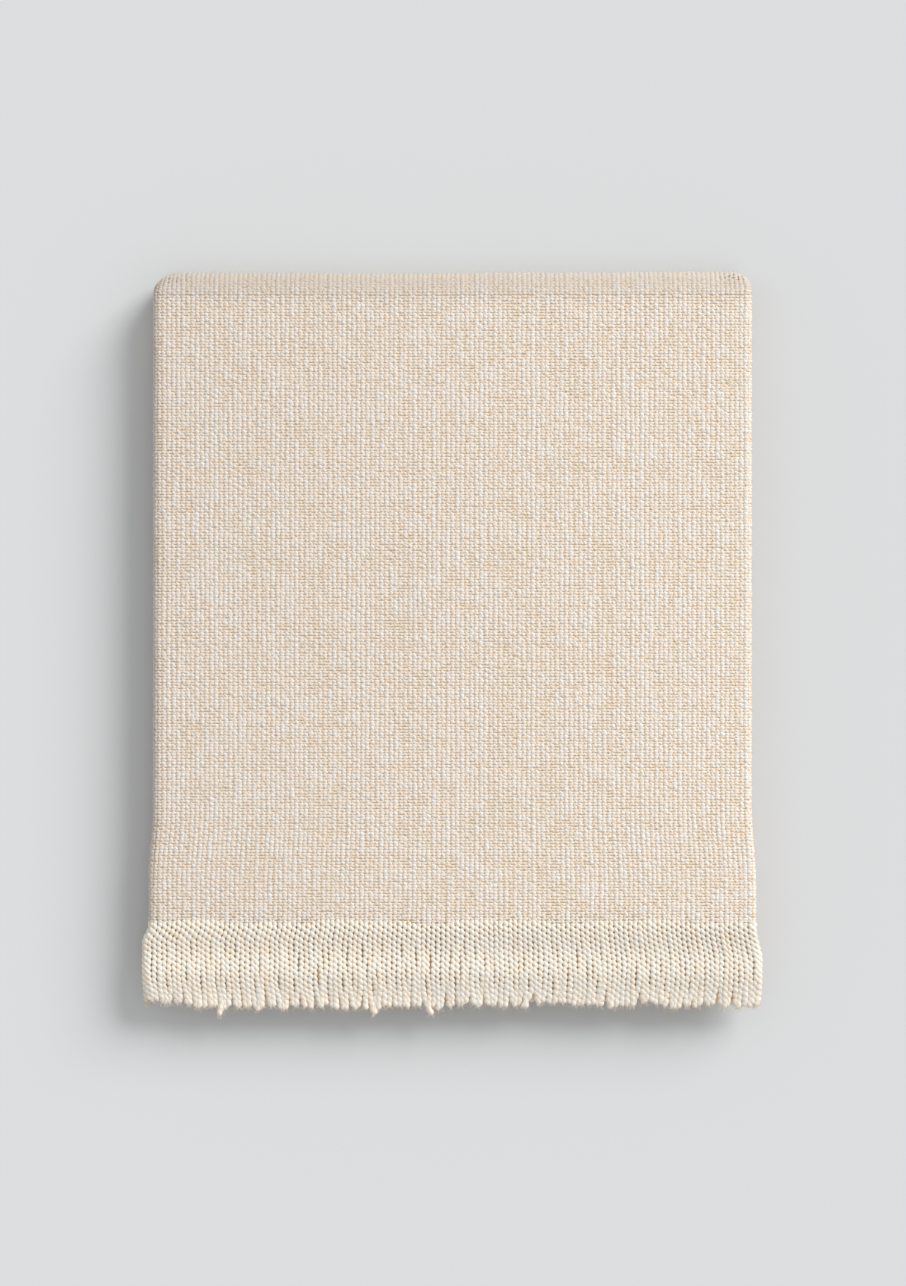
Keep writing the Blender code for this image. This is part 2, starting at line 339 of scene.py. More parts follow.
def rounded(x, y):
    """Rounds the four corners of the stack in plan, and lets the back edge wave a little."""
    middle = (BACK_Y + LEDGE_Y) / 2
    half = (BACK_Y - LEDGE_Y) / 2
    radius = np.where((x < 0) & (y > middle), LEFT_CORNER_RADIUS, CORNER_RADIUS)
    a = np.maximum((np.abs(x) - FOLDED_WIDTH / 2 + radius) / radius, 0)
    b = np.maximum((np.abs(y - middle) - half + radius) / radius, 0)
    inward_x = radius * (a - a * np.sqrt(np.maximum(1 - b * b / 2, 0)))
    inward_y = radius * (b - b * np.sqrt(np.maximum(1 - a * a / 2, 0)))
    near_back = smooth((y - BACK_TURN_Y) / BACK_WAVE_RUN + 0.5)
    back = BACK_WAVE * rippled(x, BACK_RIPPLES) * near_back
    return x - np.sign(x) * inward_x, y - np.sign(y - middle) * inward_y + back


def widened(x, y):
    """Spreads the sides a little towards the woven end."""
    flare = FLARE * smooth((FLARE_FROM - (y - WOVEN_END_Y)) / (FLARE_FROM - FLARE_TO))
    return x * (1 + 2 * flare / FOLDED_WIDTH)


def settled(x, y, z):
    """Lets the stack rise and fall softly, more at the top, and not at all in the lowest layer."""
    height = np.maximum(0.0, z - CLOTH) / (STACK_HEIGHT - CLOTH)
    fade = smooth((y - WOVEN_END_Y) / SETTLE_RUN)
    wave = sum(w.share * np.sin(math.tau * (x / w.across + y / w.along) + w.phase) for w in WAVES)
    return z + SETTLE * wave * height * fade


def lying(h, past):
    """The height in the pack of a front yarn, this far past the woven end."""
    bottom = -PACK_HEIGHT / 2
    share = 1 - (1 - LIE_SHARE) * smooth(past / LIE_RUN)
    over = smooth((past - LEDGE_PANEL) / (FRINGE - LEDGE_PANEL))
    return bottom + (h - bottom) * share - DROOP * over


def spread(x, past):
    """The place across of a front yarn, this far past the woven end."""
    more = SPREAD * smooth(past / np.where(x < 0, LEFT_SPREAD_RUN, RIGHT_SPREAD_RUN))
    less = DRAW_IN * smooth((past - DRAW_FROM) / (FRINGE - DRAW_FROM))
    return x * (1 + 2 * (more - less) / FOLDED_WIDTH)


def folded(flat):
    """Takes points of the flat throw to their places in the folded one."""
    u, v, n = flat[..., 0], flat[..., 1], flat[..., 2]
    x, h = walk(WIDTH_FOLDS, WIDTH_START, u, n)
    past = -v
    front = past > 0
    y, z = walk(LENGTH_FOLDS, LENGTH_START, v, np.where(front, lying(h, past), h))
    round_x, round_y = rounded(x, y)
    y = np.where(front, y, round_y)
    x = widened(np.where(front, spread(x, past), round_x), y)
    z = np.where(front, z, settled(x, y, z))
    return np.stack((x, y, np.maximum(z, 0.0)), axis=-1)


def hold(mesh, name, values):
    """Keeps a number for each point of a mesh, for its material."""
    made = mesh.attributes.new(name, "FLOAT", "POINT")
    made.data.foreach_set("value", values.astype(np.float32).ravel())


def new_piece(name, flat, sizes, corners, finish, tone=None, painted_shade=None):
    """An object from numpy arrays: its points in the flat throw, how many corners each face has,
    and the corners."""
    points = folded(flat).reshape(-1, 3)
    mesh = bpy.data.meshes.new(name)
    mesh.vertices.add(len(points))
    mesh.vertices.foreach_set("co", np.ascontiguousarray(points, dtype=np.float32).ravel())
    mesh.loops.add(len(corners))
    mesh.loops.foreach_set("vertex_index", corners.astype(np.int32))
    mesh.polygons.add(len(sizes))
    starts = np.concatenate(([0], np.cumsum(sizes)[:-1]))
    mesh.polygons.foreach_set("loop_start", starts.astype(np.int32))
    mesh.update(calc_edges=True)
    # Faces of more than four corners are the ends of yarns, and stay flat
    mesh.polygons.foreach_set("use_smooth", sizes <= 4)
    if tone is None:
        # Where each point lies in the flat throw, for the sheet's own pattern
        held = mesh.attributes.new("flat", "FLOAT_VECTOR", "POINT")
        held.data.foreach_set("vector", flat.astype(np.float32).ravel())
    else:
        hold(mesh, "tone", tone)
    # Painted shade, held for the material
    if painted_shade is not None:
        hold(mesh, "painted_shade", painted_shade)
    mesh.materials.append(finish)
    made = bpy.data.objects.new(name, mesh)
    bpy.context.scene.collection.objects.link(made)
    return made


def stations(folds, step):
    """The distances along a folded line at which the sheet has its points."""
    found = [np.zeros(1)]
    begin = 0.0
    for fold in folds:
        for length, most in ((fold.panel, step), (math.pi * fold.radius, TURN_STEP)):
            if length > 0:
                cells = math.ceil(length / most)
                found.append(begin + length * np.arange(1, cells + 1) / cells)
                begin += length
    return np.concatenate(found)


def slipped(u):
    """How far the last weft rows have slipped into the cloth at a place across it."""
    return SLIPPED * smooth(0.5 + 0.6 * rippled(u, SLIP_RIPPLES))


def on_top(u, v):
    """The top panel with its side folds and the back fold."""
    return (u > SHOWN_FROM) & (u < SHOWN_TO) & (v < BACK_TURN_TO) & (v > slipped(u))


def on_other_folds(u, v):
    """The side folds of the two lower packs, and the front fold with the ledge before it."""
    shown = (u > SHOWN_FROM) & (u < SHOWN_TO) & (v >= BACK_TURN_TO)
    beside = (u < PANEL_FROM) | (u > PANEL_TO)
    ledge = (v > FRONT_TURN_FROM - YARNS_PAST) & (v < LEDGE_TO + YARNS_PAST)
    return shown & (beside | ledge)


def painted_shade_share(u, v):
    """How grey the cloth is painted, as painted shade: a little more to the left, where less light
    falls, and where it turns away from the light over its left fold and its back fold."""
    side = 1 - np.clip((u - PANEL_FROM) / MIDDLE_PANEL, 0, 1)
    left = smooth((PANEL_FROM + PAINTED_SHADE_BEFORE - u) / LEFT_PAINTED_SHADE_RUN)
    back = smooth((v - TOP_PANEL + PAINTED_SHADE_BEFORE) / BACK_PAINTED_SHADE_RUN)
    return SIDE_PAINTED_SHADE * side + np.maximum(LEFT_FOLD_PAINTED_SHADE * left, BACK_FOLD_PAINTED_SHADE * back)


def sheet_faces(rows, columns):
    """The corners of the faces of a closed sheet: its face, its underside and its rim."""
    count = rows * columns
    index = np.arange(count).reshape(rows, columns)
    a, b = index[:-1, :-1], index[:-1, 1:]
    c, d = index[1:, 1:], index[1:, :-1]
    top = np.stack((a, b, c, d), axis=-1).reshape(-1, 4) + count
    under = np.stack((a, d, c, b), axis=-1).reshape(-1, 4)
    rim = np.concatenate((index[0, :], index[1:, -1], index[-1, -2::-1], index[-2:0:-1, 0]))
    after = np.roll(rim, -1)
    edge = np.stack((rim, after, after + count, rim + count), axis=-1)
    return np.concatenate((top, under, edge))


def woven_sheet(finish):
    """The cloth itself: one closed thin sheet that every yarn lies on."""
    across = stations(WIDTH_FOLDS, ACROSS_STEP)
    along = stations(LENGTH_FOLDS, ALONG_STEP)
    u, v = np.meshgrid(across, along)
    under_yarns = on_top(u, np.maximum(v, 2 * SLIPPED)) | on_other_folds(u, v)
    back = np.full_like(u, -SHEET_HALF)
    face = np.where(under_yarns, FACE_HALF, SHEET_HALF)
    flat = np.concatenate([np.stack((u, v, n), axis=-1).reshape(-1, 3) for n in (back, face)])
    faces = sheet_faces(len(along), len(across))
    sizes = np.full(len(faces), 4)
    # Painted shade on the sheet's face where yarns lie on it, more than on the yarns themselves
    painted_shade = np.tile((SHEET_PAINTED_SHADE * painted_shade_share(u, v) * under_yarns).ravel(), 2)
    return new_piece("throw_sheet", flat, sizes, faces.ravel(), finish, painted_shade=painted_shade)


def evenly(folds, pitch, side):
    """Places along a folded line whose pitch is even on its outer face, and the stretch there."""
    flat, outer, stretches = [0.0], [0.0], []
    for fold in folds:
        turn_stretch = (fold.radius + side) / fold.radius if fold.radius else 1
        for length, stretch in ((fold.panel, 1), (math.pi * fold.radius, turn_stretch)):
            if length > 0:
                flat.append(flat[-1] + length)
                outer.append(outer[-1] + length * stretch)
                stretches.append(stretch)
    places = np.interp(np.arange(pitch / 2, outer[-1], pitch), outer, flat)
    found = np.searchsorted(flat[1:-1], places)
    return places, np.array(stretches)[found]


def slow_waves(draw, lines, places, lengths, parts=3):
    """For each line its own soft random curve along the places, from about -1 to 1."""
    total = np.zeros((lines, len(places)))
    for _ in range(parts):
        length = draw.uniform(*lengths, (lines, 1))
        phase = draw.uniform(0, math.tau, (lines, 1))
        total += np.sin(math.tau * places[None, :] / length + phase)
    return total / math.sqrt(parts)


def patches(draw, u, v, lengths, parts=14):
    """Soft patches over the whole cloth, from about -1 to 1."""
    total = np.zeros((len(u), len(v)))
    for _ in range(parts):
        turn = draw.uniform(0, math.pi)
        length = draw.uniform(*lengths)
        along = u[:, None] * math.cos(turn) + v[None, :] * math.sin(turn)
        total += np.sin(math.tau * along / length + draw.uniform(0, math.tau))
    return total / math.sqrt(parts / 2)


Fields = namedtuple("Fields", "u v stretch_u stretch_v wander warp_slubs weft_slubs cloud")


def weave_fields():
    """The columns and rows of crossings, how the yarns wander and swell, and their light patches."""
    draw = np.random.default_rng(21)
    u, stretch_u = evenly(WIDTH_FOLDS, WARP_PITCH, CLOTH / 2)
    v, stretch_v = evenly(LENGTH_FOLDS, WEFT_PITCH, LAYER_PITCH + CLOTH / 2)
    wander = COLUMN_WANDER * slow_waves(draw, len(u), v, WANDER_WAVES)
    warp_slubs = slow_waves(draw, len(u), v, WARP_SLUBS)
    warp_slubs = warp_slubs + draw.normal(0, YARN_ODDS, (len(u), 1))
    weft_slubs = slow_waves(draw, len(v), u, WEFT_SLUBS).T
    weft_slubs = weft_slubs + draw.normal(0, YARN_ODDS, (1, len(v)))
    small = SMALL_PATCH_SHARE * patches(draw, u, v, SMALL_PATCHES)
    large = LARGE_PATCH_SHARE * patches(draw, u, v, LARGE_PATCHES)
    return Fields(u, v, stretch_u, stretch_v, wander, warp_slubs, weft_slubs, small + large)


def float_template(kind):
    """One float as a low dome whose foot is sunk in the sheet: six points round its foot and two on
    its ridge."""
    a, b = kind.half_length, kind.half_width
    shoulder, ridge = a * kind.shoulder, a * kind.ridge
    foot = [(a, 0), (shoulder, b), (-shoulder, b), (-a, 0), (-shoulder, -b), (shoulder, -b)]
    points = [(x, y, kind.side if y else kind.foot) for x, y in foot]
    points += [(ridge, 0, kind.crown), (-ridge, 0, kind.crown)]
    faces = ((0, 1, 6), (1, 2, 7, 6), (2, 3, 7), (3, 4, 7), (4, 5, 6, 7), (5, 0, 6))
    # Painted shade: the points round the foot are painted browner than the ridge
    rim_painted_shade = [kind.side_brown if y else kind.end_brown for x, y in foot] + [0, 0]
    return np.array(points), faces, np.array(rim_painted_shade)


def floats(name, kind, parity, zone, fields, finish, seed):
    """Every float of one kind in a zone of the cloth, as one mesh."""
    draw = np.random.default_rng(seed)
    u, v = fields.u, fields.v
    i, j = np.meshgrid(np.arange(len(u)), np.arange(len(v)), indexing="ij")
    chosen = ((i + j) % 2 == parity) & zone(u[i], v[j])
    i, j = i[chosen], j[chosen]
    count = len(i)
    slub = (fields.warp_slubs if kind is WARP_FLOAT else fields.weft_slubs)[i, j]
    cloud = fields.cloud[i, j]
    width = 1 + SLUB_SHARE * slub + CLOUD_SHARE * cloud + draw.normal(0, FLOAT_WIDTH_ODDS, count)
    length = 1 + draw.normal(0, FLOAT_LENGTH_ODDS, count)
    angle = (kind.slant + draw.normal(0, FLOAT_SLANT_ODDS, count))[:, None]
    template, faces, rim_painted_shade = float_template(kind)
    x = template[None, :, 0] * length[:, None]
    y = template[None, :, 1] * width[:, None]
    lift = 1 + SLUB_LIFT * (width - 1) / SLUB_SHARE + draw.normal(0, FLOAT_LIFT_ODDS, count)
    n = kind.foot + (template[None, :, 2] - kind.foot) * lift[:, None]
    jitter = draw.normal(0, FLOAT_JITTER, (2, count))
    # Where the cloth is stretched round a fold, a float is kept at its size on the outer face
    off_u = (fields.wander[i, j] + jitter[0])[:, None] + x * np.cos(angle) - y * np.sin(angle)
    off_v = jitter[1][:, None] + x * np.sin(angle) + y * np.cos(angle)
    flat_u = u[i][:, None] + off_u / fields.stretch_u[i][:, None]
    flat_v = v[j][:, None] + off_v / fields.stretch_v[j][:, None]
    flat = np.stack((flat_u, flat_v, n), axis=-1)
    tone = FLOAT_TONE + SLUB_TONE * slub + CLOUD_TONE * cloud + draw.normal(0, FLOAT_TONE_ODDS, count)
    # Painted shade: each float's ends and sides are made browner than its ridge
    tone = tone[:, None] - rim_painted_shade[None, :]
    # Painted shade, by the float's place on the cloth
    painted_shade = np.repeat(painted_shade_share(u[i], v[j]), len(template))
    pattern = np.concatenate([np.array(face) for face in faces])
    corners = (np.arange(count)[:, None] * len(template) + pattern[None, :]).ravel()
    sizes = np.tile(np.array([len(face) for face in faces]), count)
    return new_piece(name, flat, sizes, corners, finish, tone, painted_shade)


def tubes(name, path, radius, sides, finish, tone):
    """Round yarns. path is (yarns, points, 3) in flat coordinates, radius is (yarns, points)."""
    yarns, rings = radius.shape
    way = np.gradient(path, axis=1)
    way /= np.linalg.norm(way, axis=-1, keepdims=True)
    beside = np.cross(way, np.array((0.0, 0.0, 1.0)))
    beside /= np.linalg.norm(beside, axis=-1, keepdims=True)
    above = np.cross(beside, way)
    turn = math.tau * np.arange(sides) / sides
    ring = (
        beside[:, :, None, :] * np.cos(turn)[None, None, :, None]
        + above[:, :, None, :] * np.sin(turn)[None, None, :, None]
    )
    flat = path[:, :, None, :] + ring * radius[:, :, None, None]
    index = np.arange(yarns * rings * sides).reshape(yarns, rings, sides)
    near, far = index[:, :-1], index[:, 1:]
    walls = np.stack((near, np.roll(near, -1, axis=2), np.roll(far, -1, axis=2), far), axis=-1)
    roots = index[:, 0, ::-1]
    tips = index[:, -1, :]
    corners = np.concatenate((walls.ravel(), roots.ravel(), tips.ravel()))
    walls_made = yarns * (rings - 1) * sides
    sizes = np.concatenate((np.full(walls_made, 4), np.full(2 * yarns, sides)))
    # Painted shade: each ring is browner down its sides and most underneath
    ring_tone_with_painted_shade = tone[:, :, None] - FLANK_PAINTED_SHADE * (1 - np.sin(turn))[None, None, :]
    return new_piece(name, flat, sizes, corners, finish, ring_tone_with_painted_shade)


def clumps(draw, count, kind):
    """Groups neighbours into clumps, and gives each yarn's clump centre among the yarns."""
    centres = np.zeros(count)
    begin = 0
    while begin < count:
        size = min(int(draw.choice(kind.yarns, p=kind.odds)), count - begin)
        centres[begin:begin + size] = begin + (size - 1) / 2
        begin += size
    return centres


def pulled(past, centres, kind):
    """How far aside each yarn is pulled towards the centre of its clump."""
    towards = (centres - np.arange(len(centres)))[:, None]
    return WARP_PITCH * kind.pull * smooth((past - kind.start) / kind.run) * towards


def yarn_ends(draw, across, locks, shorter, strays):
    """How far each yarn reaches past the woven end, and how far aside its tip leans."""
    count = len(across)
    reach = np.interp(across / MM, [tip.across for tip in TIPS], [tip.past for tip in TIPS]) * MM
    from_middle = np.abs(np.arange(count) - locks)
    lock_reach = draw.normal(0, LOCK_ODDS, 2 * count + 2)[(2 * locks).astype(int)]
    own_reach = draw.normal(0, TIP_ODDS, count)
    length = reach - shorter + lock_reach - LOCK_TAPER * from_middle + own_reach
    far = draw.random(count) < FAR_LEAN_YARNS
    lean = np.where(far, draw.normal(0, FAR_LEAN_ODDS, count), draw.normal(0, LEAN_ODDS, count))
    for stray in strays:
        nearest = np.argmin(np.abs(across - stray.across))
        length[nearest] = reach[nearest] + stray.more
        lean[nearest] = stray.lean
    return length, lean


def crimped(draw, columns, past, inside):
    """How far aside and how far up its crimp takes each yarn."""
    count = len(columns)
    own_phase = draw.normal(0, PHASE_ODDS, count)
    out_of_step = np.where(draw.random(count) < OUT_OF_STEP_YARNS, OUT_OF_STEP, 0)
    phase = math.pi * (columns % 2) + own_phase + out_of_step
    period = CRIMP_PERIOD * (1 + draw.normal(0, PERIOD_ODDS, count))
    angle = math.tau * past / period[:, None] + phase[:, None]
    lost = CRIMP_LOST * smooth((past - CRIMP_LOST_FROM) / CRIMP_LOST_RUN)
    fade = smooth((past + inside) / CRIMP_ROOT_RUN) * (1 - lost)
    return CRIMP * fade * np.sin(angle), RISE * fade * np.cos(angle)


def yarn_profile(past, length, inside):
    """How thick a yarn is from its root to its tip, as a share."""
    blunt = np.sqrt(np.clip((length[:, None] - past) / BLUNT_RUN, BLUNT_SHARE, 1))
    fluff = 1 + FLUFF * smooth((past - FLUFF_FROM) / FLUFF_RUN)
    root = ROOT_SHARE + (1 - ROOT_SHARE) * smooth((past + inside) / ROOT_RUN)
    return blunt * fluff * root


def fringe_paths(columns, u, rings, seed, shorter=0.0, strays=()):
    """A row of crimped yarns past the front woven end, gathering into ropes and then in clumps:
    their paths in the flat throw, their radii and their tones."""
    draw = np.random.default_rng(seed)
    count = len(columns)
    place = u[columns]
    across, _ = walk(WIDTH_FOLDS, WIDTH_START, place, 0 * place)
    ropes = clumps(draw, count, ROPES)
    locks = clumps(draw, count, LOCKS)
    length, lean = yarn_ends(draw, across, locks, shorter, strays)
    inside = ROOT + slipped(place)[:, None]
    share = np.linspace(0, 1, rings)[None, :]
    along = share[0] * FRINGE
    past = -inside + (length[:, None] + inside) * share
    crimp, rise = crimped(draw, columns, past, inside)
    gather = pulled(past, ropes, ROPES) + pulled(past, locks, LOCKS)
    free = smooth(past / DRIFT_RUN)
    drift = DRIFT * free * slow_waves(draw, count, along, DRIFT_WAVES)
    aside = lean[:, None] * smooth((share - LEAN_FROM) / (1 - LEAN_FROM)) ** 2
    lift = LIFT * free * slow_waves(draw, count, along, LIFT_WAVES)
    flat_u = place[:, None] + crimp + gather + drift + aside
    flat = np.stack((flat_u, -past, rise + lift), axis=-1)
    swell = slow_waves(draw, count, along, SWELL_WAVES)
    width = 1 + draw.normal(0, YARN_WIDTH_ODDS, count)[:, None]
    thick = YARN * width * yarn_profile(past, length, inside) * (1 + SWELL * swell)
    tone = FRINGE_TONE + draw.normal(0, FRINGE_TONE_ODDS, count)[:, None] + SWELL_TONE * swell
    return flat, thick, tone


def yarn_row(name, row, finish, sides=6):
    """A row of fringe yarns as one mesh."""
    path, thick, tone = row
    return tubes(name, path, thick, sides, finish, tone)


def tip_fibres(path, thick, finish):
    """Loose fibres round the tips of the front yarns."""
    draw = np.random.default_rng(51)
    yarns, rings = thick.shape
    count = yarns * FIBRES_PER_YARN
    yarn = np.repeat(np.arange(yarns), FIBRES_PER_YARN)
    length = path[:, 0, 1] - path[:, -1, 1]
    back = FIBRE_ZONE * draw.random(count) ** 1.4
    ring = np.clip(((1 - back / length[yarn]) * (rings - 1)).astype(int), 1, rings - 2)
    root = path[yarn, ring]
    around = draw.uniform(0, math.tau, count)
    out = np.stack((np.cos(around), 0 * around, np.sin(around)), axis=-1)
    start = root + FIBRE_DEPTH * thick[yarn, ring][:, None] * out
    run = draw.uniform(*FIBRE_LENGTHS, count)[:, None, None]
    share = np.linspace(0, 1, FIBRE_RINGS)[None, :, None]
    forward = np.array((0.0, -1.0, 0.0))
    bend = draw.normal(0, FIBRE_BEND, (count, 1, 3)) * np.array((1.0, 0.2, 0.5))
    side = draw.uniform(*FIBRE_SIDE, count)[:, None, None] * out[:, None, :]
    hairs = start[:, None, :] + run * (forward * share + side * share + bend * share * share)
    taper = FIBRE * (1 - FIBRE_TAPER * share[..., 0]) * np.ones((count, 1))
    tone = FIBRE_TONE + draw.normal(0, FIBRE_TONE_ODDS, (count, 1)) + 0 * taper
    return tubes("front_fringe_fibres", hairs, taper, 3, finish, tone)


def selvedges(finish):
    """The two side edges of the cloth, each a row of beads where the weft turns back."""
    draw = np.random.default_rng(61)
    beads = int(WOVEN_LENGTH / (2 * WEFT_PITCH))
    share = np.linspace(0, 1, beads * BEAD_RINGS + 1)
    u, v = np.meshgrid((0.0, THROW_WIDTH), WOVEN_LENGTH * share, indexing="ij")
    path = np.stack((u, v, np.zeros_like(u)), axis=-1)
    bead = np.abs(np.sin(math.pi * beads * share)) ** 0.7
    own = 1 + 0.1 * slow_waves(draw, 2, v[0], BEAD_WAVES)
    thick = SELVEDGE * (SELVEDGE_NECK + (1 - SELVEDGE_NECK) * bead)[None, :] * own
    # Painted shade: the edge is painted darker where it is thinner, most at the necks between its
    # beads
    tone = 0.35 + 0.3 * bead[None, :] + 0.3 * (own - 1)
    return tubes("selvedges", path, thick, 8, finish, tone)


def inner_fringe(u, finish):
    """The other woven end's fringe, which lies hidden inside the back fold."""
    draw = np.random.default_rng(5)
    rings, sides = 10, 5
    count = len(u)
    share = np.linspace(0, 1, rings)[None, :]
    length = FRINGE + draw.uniform(*INNER_ODDS, count)
    v = WOVEN_LENGTH - INNER_ROOT + length[:, None] * share
    drift = INNER_DRIFT * slow_waves(draw, count, share[0] * FRINGE, INNER_DRIFT_WAVES) * share
    flat = np.stack((u[:, None] + drift, v, 0 * v), axis=-1)
    thick = INNER_YARN * np.sqrt(np.clip((1 - share) * 24, 0.1, 1)) * np.ones((count, 1))
    return tubes("inner_fringe_yarns", flat, thick, sides, finish, np.full((count, rings), 0.5))


def fringe_columns(u):
    """The columns of the front row, and those of the rows under it."""
    shown = (u > SHOWN_FROM) & (u < SHOWN_TO)
    return np.flatnonzero(shown), np.flatnonzero(u <= SHOWN_FROM), np.flatnonzero(u >= SHOWN_TO)


def node(tree, kind, **settings):
    """A new node with its settings."""
    made =tree.nodes.new(kind)
    for key, value in settings.items():
        setattr(made, key, value)
    return made


def add_painted_shade(tree, colour, shader):
    """Greys a colour by the attribute that holds the painted shade, on its way to the shader."""
    painted_shade = node(tree, "ShaderNodeAttribute", attribute_name="painted_shade")
    mix = node(tree, "ShaderNodeMix", data_type="RGBA")
    factor, first, second, mixed = mix.inputs[0], mix.inputs[6], mix.inputs[7], mix.outputs[2]
    tree.links.new(painted_shade.outputs["Fac"], factor)
    tree.links.new(colour, first)
    second.default_value = (*PAINTED_SHADE_COLOUR, 1)
    tree.links.new(mixed, shader.inputs["Base Color"])


def yarn_material(name, dark, light):
    """Spun yarn: its tone from the tone attribute, which also carries painted shade at the floats'
    ends and sides and down the yarns' flanks, mottled, with fine fibres as bump.
    """
    made = bpy.data.materials.new(name)
    made.use_nodes = True
    tree = made.node_tree
    shader = tree.nodes["Principled BSDF"]
    shader.inputs["Roughness"].default_value = 0.92
    shader.inputs["Sheen Weight"].default_value = 0.05
    shader.inputs["Sheen Roughness"].default_value = 0.6
    shader.inputs["Specular IOR Level"].default_value = 0.25
    place = node(tree, "ShaderNodeTexCoord")
    tone = node(tree, "ShaderNodeAttribute", attribute_name="tone")
    blotch = node(tree, "ShaderNodeTexNoise")
    blotch.inputs["Scale"].default_value = 420
    blotch.inputs["Detail"].default_value = 3
    fibres = node(tree, "ShaderNodeTexNoise")
    fibres.inputs["Scale"].default_value = 2600
    fibres.inputs["Detail"].default_value = 2
    for texture in (blotch, fibres):
        tree.links.new(place.outputs["Object"], texture.inputs["Vector"])
    weigh = node(tree, "ShaderNodeMath", operation="MULTIPLY_ADD")
    weigh.inputs[1].default_value = 0.9
    tree.links.new(blotch.outputs["Fac"], weigh.inputs[0])
    shift = node(tree, "ShaderNodeMath", operation="SUBTRACT")
    shift.inputs[1].default_value = 0.45
    tree.links.new(tone.outputs["Fac"], shift.inputs[0])
    tree.links.new(shift.outputs[0], weigh.inputs[2])
    ramp = node(tree, "ShaderNodeValToRGB")
    ramp.color_ramp.elements[0].color = (*dark, 1)
    ramp.color_ramp.elements[1].color = (*light, 1)
    tree.links.new(weigh.outputs[0], ramp.inputs["Fac"])
    add_painted_shade(tree, ramp.outputs["Color"], shader)
    bump = node(tree, "ShaderNodeBump")
    bump.inputs["Strength"].default_value = 0.4
    bump.inputs["Distance"].default_value = 0.00012
    tree.links.new(fibres.outputs["Fac"], bump.inputs["Height"])
    tree.links.new(bump.outputs["Normal"], shader.inputs["Normal"])
    return made


def math_node(tree, operation, first, second):
    """A maths node. Its second input is a number or another node's output."""
    made = node(tree, "ShaderNodeMath", operation=operation)
    tree.links.new(first, made.inputs[0])
    if isinstance(second, (int, float)):
        made.inputs[1].default_value = second
    else:
        tree.links.new(second, made.inputs[1])
    return made.outputs[0]


def sheet_material():
    """The ground of the cloth under the yarns, with the weave as colour and bump. It shows by
    itself on the underside, where no yarn is modelled."""
    made = bpy.data.materials.new("woven_ground")
    made.use_nodes = True
    tree = made.node_tree
    shader = tree.nodes["Principled BSDF"]
    shader.inputs["Roughness"].default_value = 0.95
    shader.inputs["Specular IOR Level"].default_value = 0.2
    flat = node(tree, "ShaderNodeAttribute", attribute_name="flat")
    noise = node(tree, "ShaderNodeTexNoise")
    noise.inputs["Scale"].default_value = 350
    tree.links.new(flat.outputs["Vector"], noise.inputs["Vector"])
    place = node(tree, "ShaderNodeSeparateXYZ")
    tree.links.new(flat.outputs["Vector"], place.inputs["Vector"])
    across = math_node(tree, "MULTIPLY", place.outputs["X"], math.pi / WARP_PITCH)
    along = math_node(tree, "MULTIPLY", place.outputs["Y"], math.pi / WEFT_PITCH)
    # Above 0 where a warp yarn is on top, and below 0 where a weft yarn is
    weave = math_node(
        tree, "MULTIPLY", math_node(tree, "SINE", across, 0), math_node(tree, "SINE", along, 0)
    )
    shade = math_node(tree, "MULTIPLY", math_node(tree, "ADD", weave, 1), 0.5)
    uneven = math_node(tree, "MULTIPLY", math_node(tree, "SUBTRACT", noise.outputs["Fac"], 0.5), 0.25)
    ramp = node(tree, "ShaderNodeValToRGB")
    # Painted shade: the sheet is painted darkest brown where warp and weft part, at 0.50, for the
    # shade in the gaps between the yarns, and lighter where a yarn is on top
    stops = ramp.color_ramp.elements
    stops[0].color = (0.78, 0.67, 0.53, 1)
    stops[1].color = (0.86, 0.80, 0.70, 1)
    stops.new(0.36).color = (0.60, 0.46, 0.32, 1)
    stops.new(0.50).color = (0.42, 0.285, 0.17, 1)
    stops.new(0.64).color = (0.64, 0.51, 0.37, 1)
    tree.links.new(math_node(tree, "ADD", shade, uneven), ramp.inputs["Fac"])
    add_painted_shade(tree, ramp.outputs["Color"], shader)
    bump = node(tree, "ShaderNodeBump")
    bump.inputs["Strength"].default_value = 0.8
    bump.inputs["Distance"].default_value = 0.0006
    height = math_node(tree, "POWER", math_node(tree, "ABSOLUTE", weave, 0), 0.6)
    tree.links.new(height, bump.inputs["Height"])
    tree.links.new(bump.outputs["Normal"], shader.inputs["Normal"])
    return made


def floor():
    """A plain pale floor."""
    bpy.ops.mesh.primitive_plane_add(size=12)
    made = bpy.context.object
    made.name = "floor"
    finish = bpy.data.materials.new("pale_floor")
    finish.use_nodes = True
    shader = finish.node_tree.nodes["Principled BSDF"]
    shader.inputs["Base Color"].default_value = (0.615, 0.624, 0.628, 1)
    shader.inputs["Roughness"].default_value = 0.9
    shader.inputs["Specular IOR Level"].default_value = 0.1
    made.data.materials.append(finish)


# The camera looks straight down from this height and place. Its frame is FRAME_HEIGHT high where it
# cuts the stack, SCALE_HEIGHT above the floor
CAMERA_HEIGHT = 3.2
CAMERA_X = 0.5 * MM
CAMERA_Y = -2.5 * MM
FRAME_HEIGHT = 919 * MM
SCALE_HEIGHT = 22 * MM

# The light: a wide soft one from the right and the back, in a bright room
ROOM_LIGHT = 0.68
KEY_LIGHT = 3.1
KEY_WIDTH = math.radians(34)
KEY_HEIGHT = math.radians(30)
KEY_TURN = math.radians(44)


def camera():
    """Looks straight down, with the photo's width of floor in the frame."""
    data =bpy.data.cameras.new("camera")
    data.sensor_width = 36
    data.lens = data.sensor_width * (CAMERA_HEIGHT - SCALE_HEIGHT) / FRAME_HEIGHT
    made = bpy.data.objects.new("camera", data)
    made.location = (CAMERA_X, CAMERA_Y, CAMERA_HEIGHT)
    bpy.context.scene.collection.objects.link(made)
    bpy.context.scene.camera = made


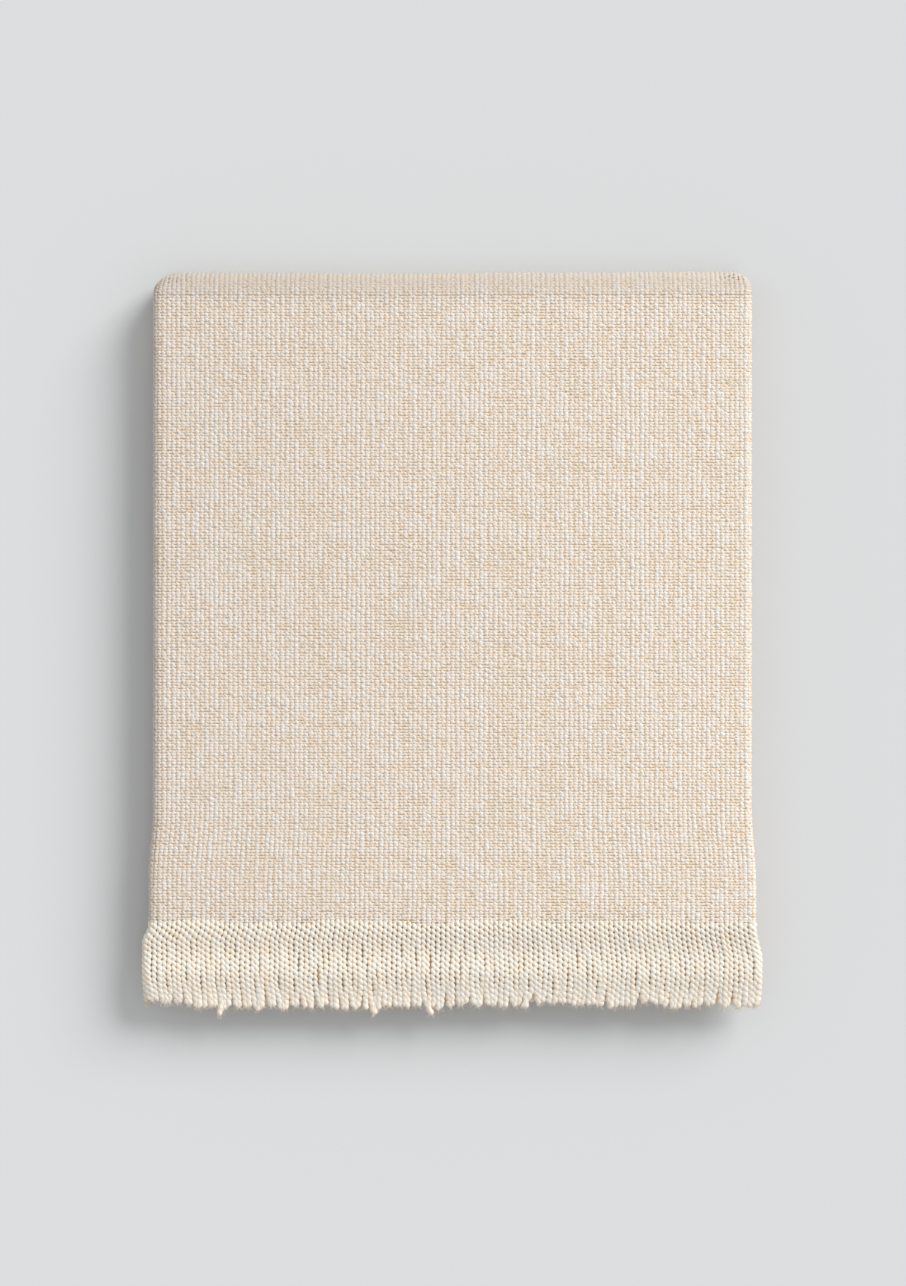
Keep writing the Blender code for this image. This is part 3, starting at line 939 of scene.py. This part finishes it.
def lights():
    """A wide soft light from the right and the back, with a bright room round it."""
    world = bpy.data.worlds.new("room")
    world.use_nodes = True
    background = world.node_tree.nodes["Background"]
    background.inputs["Color"].default_value = (0.985, 0.995, 1, 1)
    background.inputs["Strength"].default_value = ROOM_LIGHT
    bpy.context.scene.world = world
    data = bpy.data.lights.new("key", "SUN")
    data.angle = KEY_WIDTH
    data.energy = KEY_LIGHT
    key = bpy.data.objects.new("key", data)
    key.rotation_euler = (0, math.pi / 2 - KEY_HEIGHT, KEY_TURN)
    bpy.context.scene.collection.objects.link(key)
    bpy.context.scene.view_settings.view_transform = "Standard"


def main():
    """Everything in the scene, with each piece attached to the root body and the parts of model.glb
    that they replace hidden.
    """
    camera()
    floor()
    lights()
    # The dark end of each ramp is also the colour of the painted shade at the floats' ends and sides
    # and down the yarns' flanks
    cream = yarn_material("cream_warp", (0.79, 0.58, 0.395), (0.765, 0.767, 0.765))
    beige = yarn_material("beige_weft", (0.76, 0.545, 0.355), (0.775, 0.715, 0.64))
    fringe_cream = yarn_material("cream_fringe", (0.85, 0.655, 0.45), (0.745, 0.735, 0.69))
    # Painted light: the rows under the front one are the same yarn, painted lighter and warmer for
    # the warm light bounced into the shaded gaps between the front yarns
    under_fringe_painted_light = yarn_material("cream_fringe_under_painted_light", (0.92, 0.75, 0.55), (0.97, 0.89, 0.76))
    fields = weave_fields()
    u = fields.u
    sheet = woven_sheet(sheet_material())
    weave = [
        floats("weave_top_warp", WARP_FLOAT, 0, on_top, fields, cream, 31),
        floats("weave_top_weft", WEFT_FLOAT, 1, on_top, fields, beige, 32),
        floats("weave_folds_warp", WARP_FLOAT, 0, on_other_folds, fields, cream, 33),
        floats("weave_folds_weft", WEFT_FLOAT, 1, on_other_folds, fields, beige, 34),
        selvedges(beige),
    ]
    front, lowest, between = fringe_columns(u)
    shown = fringe_paths(front, u, 76, 41, strays=STRAYS)
    fringes = [
        yarn_row("front_fringe_yarns", shown, fringe_cream, sides=8),
        yarn_row("front_fringe_lower", fringe_paths(lowest, u, 48, 42, UNDER_SHORTER), under_fringe_painted_light),
        yarn_row("front_fringe_middle", fringe_paths(between, u, 48, 43, UNDER_SHORTER), under_fringe_painted_light),
        tip_fibres(shown[0], shown[1], fringe_cream),
    ]
    inner = inner_fringe(u, fringe_cream)
    for piece in weave + [sheet]:
        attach(piece, "root")
    for piece in fringes + [inner]:
        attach(piece, "root")
    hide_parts("throw_cloth")
    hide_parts("front_fringe")
    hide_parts("inner_fringe")


main()
